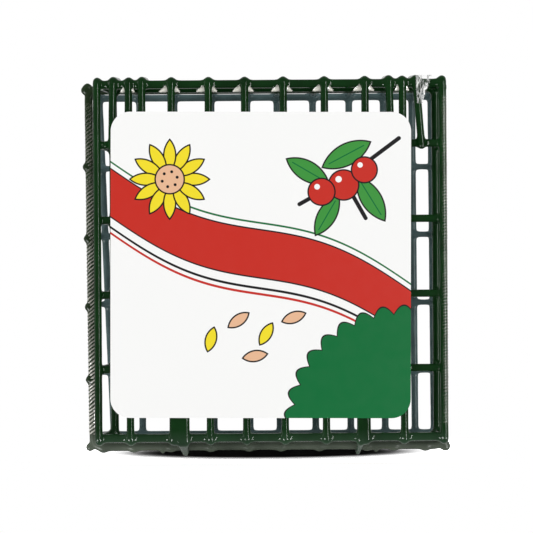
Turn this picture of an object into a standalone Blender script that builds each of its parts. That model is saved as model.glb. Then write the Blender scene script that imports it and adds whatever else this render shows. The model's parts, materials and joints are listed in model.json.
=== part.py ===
"""Wire suet feeder: a deep back half and a shallow door, both welded from coated wire, hinged along the bottom.

Frame: metres, +Z up, +X to the right, the door faces -Y. The origin is the bottom centre of the bounding box.
Every wire is a separate piece. Wires that are welded in the real feeder lie a touching gap apart here.
Places along X are given from the centre of the half that a wire belongs to.
"""

import math

import bpy
from mathutils import Vector

MM = 0.001

# Stock
GRID_WIRE = 2.8 * MM  # coated diameter of the uprights, the door's crosswires, the hooks and the fingers
BACK_CROSSWIRE = 2.4 * MM  # coated diameter of the back half's inner crosswires
FRAME_ROD = 3.1 * MM  # coated diameter of the rims and of the top and bottom crosswires
TOUCH_GAP = 0.3 * MM  # between two pieces that are welded or that seat on each other
WIRE_BEVEL_STEPS = 3  # bevel resolution of a round section
WIRE_SIDES = 2 * WIRE_BEVEL_STEPS + 4  # as many as that resolution gives
BEND_STEPS = 4  # straight runs in a quarter bend

# Overall sizes
RIM_SPAN = 134.4 * MM  # back half's rim, wire centre to wire centre, both ways
BASKET_DEPTH = 46.0 * MM  # front uprights to back uprights, centre to centre
RIM_BEND = 3.5 * MM  # corner radius of both rims at the wire centre
SIDE_BEND = 2.9 * MM  # where a crosswire turns from the face into a side wall
DOOR_DEPTH_TO_RIM = 15.2 * MM  # door's uprights to the back half's rim

# Door
DOOR_SIDE_CLEARANCE = 4.2 * MM  # door's outermost uprights inside the centres of the back rim's sides
DOOR_SHIFT_X = 1.5 * MM  # the hooks let the door sit this far to the right on the hinge wire
DOOR_FOOT_CLEARANCE = 0.55 * MM  # door's bottom wires pass this far from the back half's when it is down
DOOR_UPRIGHT_SHARES = (-1.0, -0.816, -0.569, -0.354, -0.144, 0.079, 0.317, 0.552, 0.769, 1.0)
DOOR_CROSSWIRE_SHARES = (0.195, 0.405, 0.617, 0.83)

# Back half
BACK_SIDE_INSET = 0.3 * MM  # outermost back upright stands this far inside the rim's side wire
BACK_UPRIGHT_SHARES = (-0.963, -0.755, -0.547, -0.324, -0.108, 0.072, 0.287, 0.502, 0.709, 0.885, 1.0)
BACK_CROSSWIRE_SHARES = (0.191, 0.394, 0.597, 0.799)
STEP_ASIDE_ROOM = 1.2 * MM  # beside a hook or a finger, past touching

# Hinge hooks stand beside an upright: its number, and how many wires to its right
HINGE_HOOK_STEPS = ((3, 1), (3, 2), (8, -1))
HINGE_CURL_DEGREES = 235.0
HINGE_CURL_STEPS = 12
HOOK_FOOT_BEND = 4.0 * MM
HOOK_OVERRUN = 2.2 * MM  # a hook or finger starts this far past the crosswire it is welded to

# Closing fingers, by the door's half width
FINGER_TOP_SHARES = (-0.905, -0.739, 0.69, 0.846)
FINGER_FOOT_SHARES = (-0.914, -0.741, 0.702, 0.879)
FINGER_REACH = 6.0 * MM  # past the centre of the back half's rim

# Label card
CARD_WIDTH = 109.0 * MM
CARD_HEIGHT = 111.1 * MM
CARD_THICKNESS = 0.5 * MM
CARD_CORNER = 7.0 * MM
CARD_SHIFT_X = -3.6 * MM  # card's centre from the door's centre
CARD_LIFT = 7.5 * MM  # card's lower edge above the centre of the door's bottom rod
CARD_TILT_DEGREES = 0.45  # the card lies a little askew, its top to the right
CARD_CORNER_STEPS = 6

WIRE_R = GRID_WIRE / 2
ROD_R = FRAME_ROD / 2
WIRE_FLAT_R = WIRE_R * math.cos(math.pi / WIRE_SIDES)  # centre to the middle of a flat
ROD_TO_WIRE = ROD_R + WIRE_R + TOUCH_GAP  # centre to centre of a rod and a wire that touch
ROD_TO_ROD = FRAME_ROD + TOUCH_GAP
WIRE_TO_WIRE = GRID_WIRE + TOUCH_GAP

# Heights: the back half stands on the wires that lap under its rim
RIM_BOTTOM_Z = ROD_TO_WIRE + WIRE_FLAT_R
RIM_TOP_Z = RIM_BOTTOM_Z + RIM_SPAN
RIM_HALF = RIM_SPAN / 2
DOOR_BOTTOM_Z = RIM_BOTTOM_Z + ROD_TO_WIRE + WIRE_R + DOOR_FOOT_CLEARANCE
DOOR_TOP_Z = RIM_TOP_Z

# Depths: the box is centred with the card counted
FRONT_REACH = WIRE_R + TOUCH_GAP + CARD_THICKNESS  # door's uprights to the front of the card
DOOR_FACE_Y = (FRONT_REACH - WIRE_FLAT_R - BASKET_DEPTH) / 2
BACK_FACE_Y = DOOR_FACE_Y + BASKET_DEPTH
BACK_RIM_Y = DOOR_FACE_Y + DOOR_DEPTH_TO_RIM
DOOR_RIM_Y = BACK_RIM_Y - ROD_TO_ROD

DOOR_HALF_WIDTH = RIM_HALF - DOOR_SIDE_CLEARANCE
DOOR_RIM_HALF = DOOR_HALF_WIDTH - ROD_TO_WIRE
BACK_HALF_WIDTH = RIM_HALF - BACK_SIDE_INSET
HINGE_HOOK_X = [
    DOOR_UPRIGHT_SHARES[number - 1] * DOOR_HALF_WIDTH + steps * WIRE_TO_WIRE
    for number, steps in HINGE_HOOK_STEPS
]
FINGER_TOP_X = [share * DOOR_HALF_WIDTH for share in FINGER_TOP_SHARES]
FINGER_FOOT_X = [share * DOOR_HALF_WIDTH for share in FINGER_FOOT_SHARES]
HINGE_POINT = Vector((0, BACK_RIM_Y, RIM_BOTTOM_Z))


def clear_scene():
    """Removes what the file holds, so that the script can run again."""
    for obj in list(bpy.data.objects):
        bpy.data.objects.remove(obj, do_unlink=True)


def new_collection(name):
    found = bpy.data.collections.get(name) or bpy.data.collections.new(name)
    if name not in bpy.context.scene.collection.children:
        bpy.context.scene.collection.children.link(found)
    return found


def new_material(name, colour, roughness, metallic=0.0):
    made = bpy.data.materials.new(name)
    made.use_nodes = True
    shader = made.node_tree.nodes["Principled BSDF"]
    shader.inputs["Base Color"].default_value = (*colour, 1.0)
    shader.inputs["Roughness"].default_value = roughness
    shader.inputs["Metallic"].default_value = metallic
    return made


def rounded_path(corners, radius, steps=BEND_STEPS, closed=False):
    """The corners of a bent wire with each bend made an arc of the radius, as a list of points."""
    corners = [Vector(corner) for corner in corners]
    count = len(corners)
    points = []
    for index, corner in enumerate(corners):
        if not closed and index in (0, count - 1):
            points.append(corner)
            continue
        to_last = (corners[index - 1] - corner).normalized()
        to_next = (corners[(index + 1) % count] - corner).normalized()
        half_angle = to_last.angle(to_next) / 2
        centre = corner + (to_last + to_next).normalized() * radius / math.sin(half_angle)
        start = corner + to_last * radius / math.tan(half_angle) - centre
        end = corner + to_next * radius / math.tan(half_angle) - centre
        sweep = start.angle(end)
        for step in range(steps + 1):
            share = step / steps
            near = math.sin((1 - share) * sweep) / math.sin(sweep)
            far = math.sin(share * sweep) / math.sin(sweep)
            points.append(centre + start * near + end * far)
    return points


def bent_wire(name, points, radius, parent, closed=False):
    """A round wire along the points, which count X from the centre of its own half."""
    curve = bpy.data.curves.new(name, "CURVE")
    curve.dimensions = "3D"
    curve.bevel_depth = radius
    curve.bevel_resolution = WIRE_BEVEL_STEPS
    curve.use_fill_caps = True
    curve.twist_mode = "MINIMUM"
    spline = curve.splines.new("POLY")
    spline.points.add(len(points) - 1)
    for place, point in zip(spline.points, points):
        place.co = (*(point - HINGE_POINT), 1.0)
    spline.use_cyclic_u = closed
    curve.materials.append(COATING)
    wire = bpy.data.objects.new(name, curve)
    wire.parent = parent
    PARTS.objects.link(wire)
    return wire


def pivot(name, location):
    """An empty that a group of pieces is parented to."""
    made = bpy.data.objects.new(name, None)
    made.location = location
    PARTS.objects.link(made)
    return made


def rim(name, half_width, low, high, y, parent):
    """A closed rectangle of rod with round corners."""
    corners = [
        (-half_width, y, low),
        (half_width, y, low),
        (half_width, y, high),
        (-half_width, y, high),
    ]
    return bent_wire(name, rounded_path(corners, RIM_BEND, closed=True), ROD_R, parent, closed=True)


def upright(name, x, face_y, end_y, low, high, parent, top_end_x=None, foot_end_x=None):
    """A wire down the face that wraps over the top rod and under the bottom rod, and runs back to the rim."""
    top_end_x = x if top_end_x is None else top_end_x
    foot_end_x = x if foot_end_x is None else foot_end_x
    foot_z = low - ROD_TO_WIRE
    if (top_end_x, foot_end_x) != (x, x):
        foot_z += WIRE_R - WIRE_FLAT_R  # a slanting end turns the section, so that an edge points down
    corners = [
        (top_end_x, end_y, high + ROD_TO_WIRE),
        (x, face_y, high + ROD_TO_WIRE),
        (x, face_y, foot_z),
        (foot_end_x, end_y, foot_z),
    ]
    return bent_wire(name, rounded_path(corners, ROD_TO_WIRE), WIRE_R, parent)


def crosswire(name, z, radius, face_y, inward, end_y, rim_half, parent):
    """A wire across the inner side of the uprights that turns into both side walls and laps outside the rim."""
    y = face_y + inward * (WIRE_R + radius + TOUCH_GAP)
    x = rim_half + ROD_R + radius + TOUCH_GAP
    corners = [(-x, end_y, z), (-x, y, z), (x, y, z), (x, end_y, z)]
    return bent_wire(name, rounded_path(corners, SIDE_BEND), radius, parent)


def grid_heights(low, high, shares, inner_radius):
    """The bottom rod, the inner crosswires and the top rod, as (height, radius)."""
    inner = [(low + share * (high - low), inner_radius) for share in shares]
    return [(low, ROD_R), *inner, (high, ROD_R)]


def step_aside(x, neighbours):
    """Where a back upright's end goes so that it lies clear of the door's nearest hook or finger."""
    nearest = min((DOOR_SHIFT_X + neighbour for neighbour in neighbours), key=lambda place: abs(x - place))
    room = WIRE_TO_WIRE + STEP_ASIDE_ROOM
    if abs(x - nearest) >= room:
        return x
    return nearest + math.copysign(room, x - nearest)


def make_back_half(parent):
    rim("back_rim", RIM_HALF, RIM_BOTTOM_Z, RIM_TOP_Z, BACK_RIM_Y, parent)
    for number, share in enumerate(BACK_UPRIGHT_SHARES, 1):
        x = share * BACK_HALF_WIDTH
        upright(
            f"back_upright_{number}", x, BACK_FACE_Y, BACK_RIM_Y, RIM_BOTTOM_Z, RIM_TOP_Z, parent,
            top_end_x=step_aside(x, FINGER_TOP_X), foot_end_x=step_aside(x, HINGE_HOOK_X),
        )
    heights = grid_heights(RIM_BOTTOM_Z, RIM_TOP_Z, BACK_CROSSWIRE_SHARES, BACK_CROSSWIRE / 2)
    for number, (z, radius) in enumerate(heights, 1):
        end_y = BACK_RIM_Y - ROD_R
        crosswire(f"back_crosswire_{number}", z, radius, BACK_FACE_Y, -1, end_y, RIM_HALF, parent)


def make_door_grid(parent):
    rim("door_rim", DOOR_RIM_HALF, DOOR_BOTTOM_Z, DOOR_TOP_Z, DOOR_RIM_Y, parent)
    for number, share in enumerate(DOOR_UPRIGHT_SHARES, 1):
        x = share * DOOR_HALF_WIDTH
        upright(f"door_upright_{number}", x, DOOR_FACE_Y, DOOR_RIM_Y, DOOR_BOTTOM_Z, DOOR_TOP_Z, parent)
    heights = grid_heights(DOOR_BOTTOM_Z, DOOR_TOP_Z, DOOR_CROSSWIRE_SHARES, WIRE_R)
    for number, (z, radius) in enumerate(heights, 1):
        end_y = DOOR_RIM_Y + ROD_R
        crosswire(f"door_crosswire_{number}", z, radius, DOOR_FACE_Y, 1, end_y, DOOR_RIM_HALF, parent)


def hinge_hook(name, x, parent):
    """A wire down from the door's lowest inner crosswire, under the hinge wire and curled up round it."""
    start_z = DOOR_BOTTOM_Z + DOOR_CROSSWIRE_SHARES[0] * (DOOR_TOP_Z - DOOR_BOTTOM_Z) + HOOK_OVERRUN
    foot_z = RIM_BOTTOM_Z - ROD_TO_WIRE
    corners = [(x, DOOR_FACE_Y, start_z), (x, DOOR_FACE_Y, foot_z), (x, BACK_RIM_Y, foot_z)]
    points = rounded_path(corners, HOOK_FOOT_BEND)
    for step in range(1, HINGE_CURL_STEPS + 1):
        turn = math.radians(HINGE_CURL_DEGREES * step / HINGE_CURL_STEPS)
        y = BACK_RIM_Y + ROD_TO_WIRE * math.sin(turn)
        z = RIM_BOTTOM_Z - ROD_TO_WIRE * math.cos(turn)
        points.append(Vector((x, y, z)))
    return bent_wire(name, points, WIRE_R, parent)


def closing_finger(name, foot_x, top_x, parent):
    """A wire up from the door's highest inner crosswire, over both top rods."""
    start_z = DOOR_BOTTOM_Z + DOOR_CROSSWIRE_SHARES[-1] * (DOOR_TOP_Z - DOOR_BOTTOM_Z) - HOOK_OVERRUN
    over_z = DOOR_TOP_Z + ROD_TO_WIRE
    corners = [
        (foot_x, DOOR_FACE_Y, start_z),
        (top_x, DOOR_FACE_Y, over_z),
        (top_x, BACK_RIM_Y + FINGER_REACH, over_z),
    ]
    return bent_wire(name, rounded_path(corners, ROD_TO_WIRE), WIRE_R, parent)


def label_card(parent):
    """A flat card with round corners, just in front of the door's uprights."""
    curve = bpy.data.curves.new("label_card", "CURVE")
    curve.dimensions = "2D"
    curve.fill_mode = "BOTH"
    curve.extrude = CARD_THICKNESS / 2
    half_w = CARD_WIDTH / 2
    half_h = CARD_HEIGHT / 2
    corners = [(-half_w, -half_h, 0), (half_w, -half_h, 0), (half_w, half_h, 0), (-half_w, half_h, 0)]
    points = rounded_path(corners, CARD_CORNER, CARD_CORNER_STEPS, closed=True)
    spline = curve.splines.new("POLY")
    spline.points.add(len(points) - 1)
    for place, point in zip(spline.points, points):
        place.co = (*point, 1.0)
    spline.use_cyclic_u = True
    curve.materials.append(CARD)
    card = bpy.data.objects.new("label_card", curve)
    card.parent = parent
    y = DOOR_FACE_Y - FRONT_REACH + CARD_THICKNESS / 2
    z = DOOR_BOTTOM_Z + CARD_LIFT + half_h
    card.location = Vector((CARD_SHIFT_X, y, z)) - HINGE_POINT
    card.rotation_euler = (math.radians(90), math.radians(CARD_TILT_DEGREES), 0)
    PARTS.objects.link(card)
    return card


def make_door_fittings(parent):
    for number, x in enumerate(HINGE_HOOK_X, 1):
        hinge_hook(f"hinge_hook_{number}", x, parent)
    for number, (foot_x, top_x) in enumerate(zip(FINGER_FOOT_X, FINGER_TOP_X), 1):
        closing_finger(f"closing_finger_{number}", foot_x, top_x, parent)
    label_card(parent)


clear_scene()
PARTS = new_collection("suet_feeder")
COATING = new_material("green_coating", (0.012, 0.085, 0.035), 0.28)
CARD = new_material("printed_card", (0.86, 0.86, 0.84), 0.45)

back_pivot = pivot("back_half", HINGE_POINT)
door_pivot = pivot("door_hinge", HINGE_POINT + Vector((DOOR_SHIFT_X, 0, 0)))
make_back_half(back_pivot)
make_door_grid(door_pivot)
make_door_fittings(door_pivot)
bpy.context.view_layer.update()
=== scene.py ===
import json
import math

import bmesh
import bpy
import numpy as np
from mathutils import Matrix, Vector

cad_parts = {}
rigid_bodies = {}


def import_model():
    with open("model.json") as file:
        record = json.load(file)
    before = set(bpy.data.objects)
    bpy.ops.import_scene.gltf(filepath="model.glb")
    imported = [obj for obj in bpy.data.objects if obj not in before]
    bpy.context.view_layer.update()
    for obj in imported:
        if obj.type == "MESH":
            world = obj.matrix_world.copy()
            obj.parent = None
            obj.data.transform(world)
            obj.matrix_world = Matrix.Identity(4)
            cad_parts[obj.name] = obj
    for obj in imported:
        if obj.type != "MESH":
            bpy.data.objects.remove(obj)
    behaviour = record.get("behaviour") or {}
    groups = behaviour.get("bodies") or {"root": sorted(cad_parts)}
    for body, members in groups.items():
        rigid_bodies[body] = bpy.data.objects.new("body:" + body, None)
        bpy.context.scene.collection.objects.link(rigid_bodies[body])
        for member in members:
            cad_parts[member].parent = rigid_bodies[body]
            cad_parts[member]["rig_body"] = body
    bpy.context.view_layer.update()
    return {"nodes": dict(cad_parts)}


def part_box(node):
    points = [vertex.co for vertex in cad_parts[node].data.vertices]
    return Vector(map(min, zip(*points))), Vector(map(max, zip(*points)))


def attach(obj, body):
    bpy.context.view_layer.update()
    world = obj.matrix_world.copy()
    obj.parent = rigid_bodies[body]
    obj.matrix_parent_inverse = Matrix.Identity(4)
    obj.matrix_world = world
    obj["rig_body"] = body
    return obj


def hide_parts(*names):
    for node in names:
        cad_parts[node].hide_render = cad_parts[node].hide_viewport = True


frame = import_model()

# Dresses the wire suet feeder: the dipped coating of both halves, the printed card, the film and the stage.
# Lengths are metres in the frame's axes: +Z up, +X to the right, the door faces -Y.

bl_info = {
    "name": "Suet feeder dressing",
    "version": (1, 0, 0),
    "blender": (4, 5, 0),
    "location": "3D View > Sidebar > Feeder",
    "description": "Makes the coated wire, the printed card and the stage of a wire suet feeder",
    "category": "Object",
}

MM = 0.001

# Where the frame's pieces are
X, Y, Z = 0, 1, 2


def low(node, axis):
    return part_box(node)[0][axis]


def high(node, axis):
    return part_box(node)[1][axis]


def middle(node, axis):
    return (low(node, axis) + high(node, axis)) / 2


def extent(node, axis):
    return high(node, axis) - low(node, axis)


def numbered(prefix):
    """A row of nodes in order: prefix_1, prefix_2 and so on."""
    names = [name for name in frame["nodes"] if name.startswith(prefix + "_")]
    return sorted(names, key=lambda name: int(name[len(prefix) + 1:]))


def nodes_of(body):
    return [name for name, obj in frame["nodes"].items() if obj["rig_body"] == body]


BACK_NODES = nodes_of("back_half")
DOOR_NODES = [name for name in nodes_of("door") if name != "label_card"]
WIRE_R = extent("door_upright_1", X) / 2
ROD_R = extent("back_rim", Y) / 2
BACK_CROSSWIRE_R = extent("back_crosswire_3", Z) / 2
DOOR_FACE_Y = low("door_upright_1", Y) + WIRE_R
BACK_FACE_Y = high("back_upright_1", Y) - WIRE_R
DOOR_RIM_Y = middle("door_rim", Y)
BACK_RIM_Y = middle("back_rim", Y)
BACK_BOTTOM_Z = middle("back_crosswire_1", Z)
BACK_TOP_Z = middle("back_crosswire_6", Z)
DOOR_BOTTOM_Z = middle("door_crosswire_1", Z)
DOOR_TOP_Z = middle("door_crosswire_6", Z)

# Coating
RIM_SLIMMER = 0.03 * MM  # the two rims lie close, so their coating is this much thinner
# How far each half's rim is off its node along X: left at the top, left at the bottom, and right
DOOR_RIM_OFF = (1.1 * MM, 1.1 * MM, 2.4 * MM)
BACK_RIM_OFF = (0.4 * MM, 1.5 * MM, -0.7 * MM)
DOOR_RIM_DROP = 1.6 * MM  # the door rim's bottom rod lies this far below its node
FOOT_END_WELD = 0.55 * MM  # the back uprights' lower ends sink this near to the rim's middle
BACK_LEAN = 0.25 * MM  # the back uprights lean this much: to the left at the top, to the right at the foot
FIRST_LEAN = 2.6 * MM  # and the leftmost one this much
# How far each back crosswire lies above its node, and its ends below its middle
BACK_RISE = (0.5 * MM, 0, 0, 0, 0, 1.2 * MM)
BACK_END_SAG = (0.5 * MM, 0.2 * MM, 0.1 * MM, 1.7 * MM, 1.8 * MM, 1.2 * MM)
RIGHT_WELD_SHARE = 0.25  # crosswires end this share of the weld distance past their rim's right rod
WELD_BEND = 1.7 * MM
SIDE_BEND = 2.6 * MM
RIM_BEND = 3.5 * MM
BEND_STEPS = 8
PATH_REACH_SHARE = 4.0  # a wire's field reaches this many blend lengths past its surface
CURL_DEGREES = 235.0
CURL_STEPS = 20
CURL_CLEARANCE = 0.20 * MM
CURL_WIRE_R = 0.75 * MM
CURL_PAIR_R = 0.50 * MM  # each wire of the joined pair, whose coating adds to its thickness
CURL_PAIR_SWELL = 0.42 * MM
HOOK_BEND = 1.6 * MM
HOOK_KNEE = 1.6 * MM  # a hook starts back this far below the door's bottom rod
HOOK_FLAT = 1.6 * MM  # and runs level for this long before it curls
HOOK_SPACING = 2.35 * MM  # a hook is welded this far from the wire beside it
HOOK_TIP_SHARE = 0.35  # two hooks side by side draw together to this share of their spacing at the tips
FINGER_CLEARANCE = 0.25 * MM
ASIDE_WIDTH = 0.3 * MM  # a back upright whose box is wider than its wire by this has an end that steps aside
UNEVENNESS = 0.05 * MM
WAVE_LENGTHS = (21.0 * MM, 13.0 * MM, 7.3 * MM)
NEWTON_STEPS = 2  # that bring the surface onto the field's zero level
TINY = 1e-12
CUT_SHARP_DEGREES = 50
# Beads under the back half that it stands on: place along X by the rim's half width, and from rim to face
REAR_DRIPS = ((-0.96, 0.83), (-0.55, 0.9), (-0.11, 0.78), (0.29, 0.86), (0.71, 0.8), (0.99, 0.9))
DRIP_GAP = 0.06 * MM  # left between a bead and the floor
BEAD_R, BEAD_TIP_R = 1.15 * MM, 0.85 * MM
# Beads under the rim's bottom rod: place along X by its half width, and length
RIM_DRIPS = ((-0.59, 1.5 * MM), (0.61, 1.4 * MM))

# Camera: what the photograph gives
PHOTO_SIDE = 533.0
CAMERA_DISTANCE = 430.0 * MM  # from the door's uprights
PIXELS_PER_MM = 2.745  # at the door's uprights
CAMERA_Z = 72.25 * MM
CAMERA_ROLL_DEGREES = -0.38
SENSOR_MM = 36.0


class FeederProperties(bpy.types.PropertyGroup):
    """Sizes and colours of the feeder's finish."""

    weld_depth: bpy.props.FloatProperty(
        name="Weld distance", description="Centre to centre of two wires that are welded across each other",
        default=1.35 * MM, min=0.5 * MM, max=4 * MM, unit="LENGTH",
    )
    blend: bpy.props.FloatProperty(
        name="Coating flow", description="How softly the coating flows from one wire into the next",
        default=0.55 * MM, min=0.1 * MM, max=2 * MM, unit="LENGTH",
    )
    cell: bpy.props.FloatProperty(
        name="Surface step", description="Size of the coating's faces",
        default=0.5 * MM, min=0.3 * MM, max=2 * MM, unit="LENGTH",
    )
    coating_colour: bpy.props.FloatVectorProperty(
        name="Coating", description="Colour of the door's coating", default=(0.0036, 0.026, 0.0048),
        size=3, min=0, max=1, subtype="COLOR",
    )
    rim_colour: bpy.props.FloatVectorProperty(
        name="Back rim", description="Colour of the back half's coating at its rim",
        default=(0.013, 0.026, 0.010), size=3, min=0, max=1, subtype="COLOR",
    )
    # Painted haze: the back half is painted paler and bluer towards its back face, standing in for the
    # film's haze and reflections over its green coating
    painted_haze_colour: bpy.props.FloatVectorProperty(
        name="Back coating", description="Colour of the back half's dull coating",
        default=(0.070, 0.110, 0.112), size=3, min=0, max=1, subtype="COLOR",
    )
    card_bow: bpy.props.FloatProperty(
        name="Card bow", description="How far the card's middle stands off the door",
        default=0.35 * MM, min=0, max=3 * MM, unit="LENGTH",
    )


# Wires: each is (points, radii), with the points along its centre line


def unit(vector):
    return vector / np.linalg.norm(vector)


def bent(corners, bend, closed=False):
    """Centre line of a bent wire: each corner becomes an arc of the bend radius.

    The arc turns the first radius into the last: radius(s) = (a sin((1-s)w) + b sin(s w)) / sin w.
    """
    corners = np.array(corners, float)
    count = len(corners)
    share = np.linspace(0, 1, BEND_STEPS + 1)[:, None]
    parts = []
    for index, corner in enumerate(corners):
        if not closed and index in (0, count - 1):
            parts.append(corner[None])
            continue
        back = unit(corners[index - 1] - corner)
        on = unit(corners[(index + 1) % count] - corner)
        half = math.acos(np.clip(back @ on, -1, 1)) / 2
        centre = corner + unit(back + on) * bend / math.sin(half)
        first = corner + back * bend / math.tan(half) - centre
        last = corner + on * bend / math.tan(half) - centre
        sweep = math.pi - 2 * half
        arc = first * np.sin((1 - share) * sweep) + last * np.sin(share * sweep)
        parts.append(centre + arc / math.sin(sweep))
    points = np.concatenate(parts)
    return np.concatenate([points, points[:1]]) if closed else points


def even(points, radius):
    """A wire of one radius all along."""
    return points, np.full(len(points), radius)


def rim_sides(node, off):
    """Where a rim's rods run along X: left at the top, left at the bottom, and right."""
    left, right = low(node, X) + ROD_R, high(node, X) - ROD_R
    return left + off[0], left + off[1], right + off[2]


def rim_wire(node, y, off, drop=0.0):
    """The closed rectangle of a half's rim, whose left side may lean."""
    left_top, left_bottom, right = rim_sides(node, off)
    bottom, top = low(node, Z) + ROD_R - drop, high(node, Z) - ROD_R
    corners = [(left_bottom, y, bottom), (right, y, bottom), (right, y, top), (left_top, y, top)]
    return even(bent(corners, RIM_BEND, closed=True), ROD_R - RIM_SLIMMER)


def upright_wire(top_x, foot_x, face_y, end_y, bottom, top, weld, end=None):
    """A wire down the face, wrapped over the top rod and under the bottom rod.

    end gives, where they differ, the places along X of its two ends and their heights.
    """
    end_top_x, end_foot_x, end_bottom, end_top = end or (top_x, foot_x, bottom - weld, top + weld)
    corners = [
        (end_top_x, end_y, end_top),
        (top_x, face_y, top + weld),
        (foot_x, face_y, bottom - weld),
        (end_foot_x, end_y, end_bottom),
    ]
    return even(bent(corners, WELD_BEND), WIRE_R)


def crosswire(node, radius, face_y, inward, rim_y, lefts, rights, rise=0.0, sag=0.0):
    """A wire across the inner side of the uprights, turned into both side walls.

    lefts and rights are where each end lies along X, at the face and at the rim.
    """
    z = middle(node, Z) + rise
    y = face_y + inward * bpy.context.scene.feeder.weld_depth
    end_y = rim_y - inward * (radius - ROD_R)
    corners = [
        (lefts[1], end_y, z - sag), (lefts[0], y, z),
        (rights[0], y, z), (rights[1], end_y, z - sag),
    ]
    return even(bent(corners, SIDE_BEND), radius)


def hook_wire(x, tip_x, top, radius, swell):
    """A hinge hook: down beside an upright, under the hinge wire, and curled up round it.

    Its curl is the hinge wire's middle + coil (sin a, -cos a) along Y and Z. It goes from x to tip_x as its
    nearness to the door's bottom rod falls from 1 to 0. radius is the wire's at the curl, and swell is what
    the coating adds there.
    """
    coil = ROD_R + radius + swell + CURL_CLEARANCE
    foot = BACK_BOTTOM_Z - coil
    corners = [
        (x, DOOR_FACE_Y, top), (x, DOOR_FACE_Y, DOOR_BOTTOM_Z - HOOK_KNEE),
        (x, BACK_RIM_Y - HOOK_FLAT, foot), (x, BACK_RIM_Y, foot),
    ]
    down = bent(corners, HOOK_BEND)
    turn = np.radians(np.linspace(0, CURL_DEGREES, CURL_STEPS + 1))[1:]
    curl = np.stack([
        np.full_like(turn, x),
        BACK_RIM_Y + coil * np.sin(turn),
        BACK_BOTTOM_Z - coil * np.cos(turn),
    ], 1)
    points = np.concatenate([down, curl])
    nearness = np.clip((points[:, Z] - foot) / (DOOR_BOTTOM_Z - foot), 0, 1)
    nearness[len(down) - 1:] = 0
    points[:, X] += (tip_x - x) * (1 - nearness)
    return points, radius + (WIRE_R - radius) * nearness


def hook_wires():
    """The hooks: a pair to the right of one upright, and one to the left of another."""
    nodes = numbered("hinge_hook")
    uprights = [middle(node, X) for node in numbered("door_upright")]
    carriers = [min(uprights, key=lambda x: abs(x - middle(node, X))) for node in nodes]
    pair = carriers[0] + np.array([1, 2]) * HOOK_SPACING
    single = carriers[2] - HOOK_SPACING
    tips = pair.mean() + HOOK_TIP_SHARE * (pair - pair.mean())
    hooks = [(x, tip_x, CURL_PAIR_R, CURL_PAIR_SWELL) for x, tip_x in zip(pair, tips)]
    hooks.append((single, single, CURL_WIRE_R, 0))
    return [hook_wire(x, tip_x, high(node, Z), *curl) for (x, tip_x, *curl), node in zip(hooks, nodes)]


def finger_wire(node, weld):
    """A closing finger: up from the highest inner crosswire, over both top rods."""
    centre = middle("door_rim", X)
    ends = sorted((low(node, X) + WIRE_R, high(node, X) - WIRE_R), key=lambda x: abs(x - centre))
    top_x, foot_x = ends
    over = DOOR_TOP_Z + ROD_R + WIRE_R + FINGER_CLEARANCE
    corners = [
        (foot_x, DOOR_FACE_Y, low(node, Z) + WIRE_R),
        (top_x, DOOR_FACE_Y, DOOR_TOP_Z + weld),
        (top_x, BACK_RIM_Y - ROD_R, over),
        (top_x, high(node, Y) - WIRE_R, over),
    ]
    return even(bent(corners, WELD_BEND), WIRE_R)


def drip(x, y, z, length, thick, thin):
    """A bead of coating that set while it hung."""
    return np.array([(x, y, z), (x, y, z - length)]), np.array([thick, thin])


def door_wires(weld):
    """The door's rim, uprights, crosswires, hooks and fingers."""
    wires = [rim_wire("door_rim", DOOR_RIM_Y, DOOR_RIM_OFF, DOOR_RIM_DROP)]
    uprights, crosswires = numbered("door_upright"), numbered("door_crosswire")
    for node in uprights:
        x = middle(node, X)
        wires.append(upright_wire(x, x, DOOR_FACE_Y, DOOR_RIM_Y, DOOR_BOTTOM_Z, DOOR_TOP_Z, weld))
    left, _, right = rim_sides("door_rim", DOOR_RIM_OFF)
    lefts = (middle(uprights[0], X), left - weld)
    rights = (middle(uprights[-1], X), right + RIGHT_WELD_SHARE * weld)
    for node in crosswires:
        radius = ROD_R if node in (crosswires[0], crosswires[-1]) else WIRE_R
        wires.append(crosswire(node, radius, DOOR_FACE_Y, 1, DOOR_RIM_Y, lefts, rights))
    wires += hook_wires()
    return wires + [finger_wire(node, weld) for node in numbered("closing_finger")]


def back_upright_ends(node):
    """Where an upright stands and where its two ends go, read from its box and from the door's wires."""
    if extent(node, X) < 2 * WIRE_R + ASIDE_WIDTH:
        x = middle(node, X)
        lean = FIRST_LEAN if node == "back_upright_1" else BACK_LEAN
        return x, x - lean, x + lean
    x, aside = low(node, X) + WIRE_R, high(node, X) - WIRE_R
    near_hook = min(abs(x - middle(hook, X)) for hook in numbered("hinge_hook")) < 2 * WIRE_R
    return (x, x, aside) if near_hook else (x, aside, x)


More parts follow.
